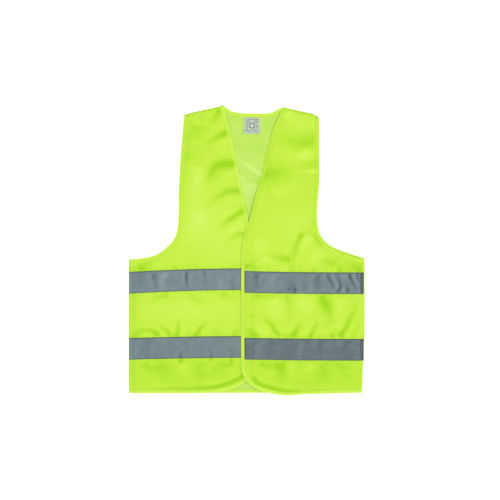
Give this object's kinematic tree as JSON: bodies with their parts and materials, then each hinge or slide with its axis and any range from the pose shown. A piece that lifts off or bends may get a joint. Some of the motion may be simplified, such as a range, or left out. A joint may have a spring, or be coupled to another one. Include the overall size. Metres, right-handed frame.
{
  "type": "high visibility vest",
  "caption": "Sleeveless high visibility vest with a V neck, reflective waist bands and a hook and loop front, closed and laid flat.",
  "frame": {"origin": "centre of the vest's outline, on the surface that its back lies on", "axes": "+Z out of the front, +Y from the hem to the neck, +X to the wearer's left"},
  "size_m": [0.5473, 0.6762, 0.0088],
  "materials": {
    "knit": "fluorescent yellow-green fine polyester knit, matt",
    "back_knit": "the same knit, its paler inner face",
    "binding": "bright woven strip, slightly smoother than the knit",
    "reflective": "grey glass bead coated reflective tape, satin",
    "hook": "fastener tape set with small nylon hooks",
    "loop": "brushed fastener tape with a fine loop pile",
    "seam": "overlocked seam allowance",
    "label": "white satin label with grey print"
  },
  "bodies": {
    "vest_body": {"back_panel": "back_knit", "right_front_panel": "knit", "left_front_panel": "knit", "neck_binding": "binding", "right_armhole_binding": "binding", "left_armhole_binding": "binding", "back_hem_binding": "binding", "right_hem_binding": "binding", "left_hem_binding": "binding", "upper_back_tape": "reflective", "lower_back_tape": "reflective", "upper_right_tape": "reflective", "lower_right_tape": "reflective", "upper_left_tape": "reflective", "lower_left_tape": "reflective", "right_side_seam": "seam", "left_side_seam": "seam", "right_shoulder_seam": "seam", "left_shoulder_seam": "seam"},
    "left_flap": {"left_front_flap": "knit", "left_flap_binding": "binding", "upper_left_flap_tape": "reflective", "lower_left_flap_tape": "reflective", "upper_hook_patch": "hook", "lower_hook_patch": "hook"},
    "right_flap": {"right_front_flap": "knit", "right_flap_binding": "binding", "upper_right_flap_tape": "reflective", "lower_right_flap_tape": "reflective", "upper_loop_patch": "loop", "lower_loop_patch": "loop"},
    "label": {"care_label": "label"}
  },
  "joints": [
    {"name": "left_front_opens", "type": "hinge", "parent": "vest_body", "child": "left_flap", "pos_m": [0.078, 0, 0.005], "axis": [0, 1, 0], "range_deg": [0, 165]},
    {"name": "right_front_opens", "type": "hinge", "parent": "vest_body", "child": "right_flap", "pos_m": [-0.052, 0, 0.005], "axis": [0, -1, 0], "range_deg": [0, 165]},
    {"name": "label_lifts", "type": "hinge", "parent": "vest_body", "child": "label", "pos_m": [0.013, 0.3076, 0.0025], "axis": [-0.9986, 0.0523, 0], "range_deg": [0, 155]}
  ],
  "couplings": [
    {"joint": "right_front_opens", "follows": "left_front_opens", "ratio": 1}
  ]
}
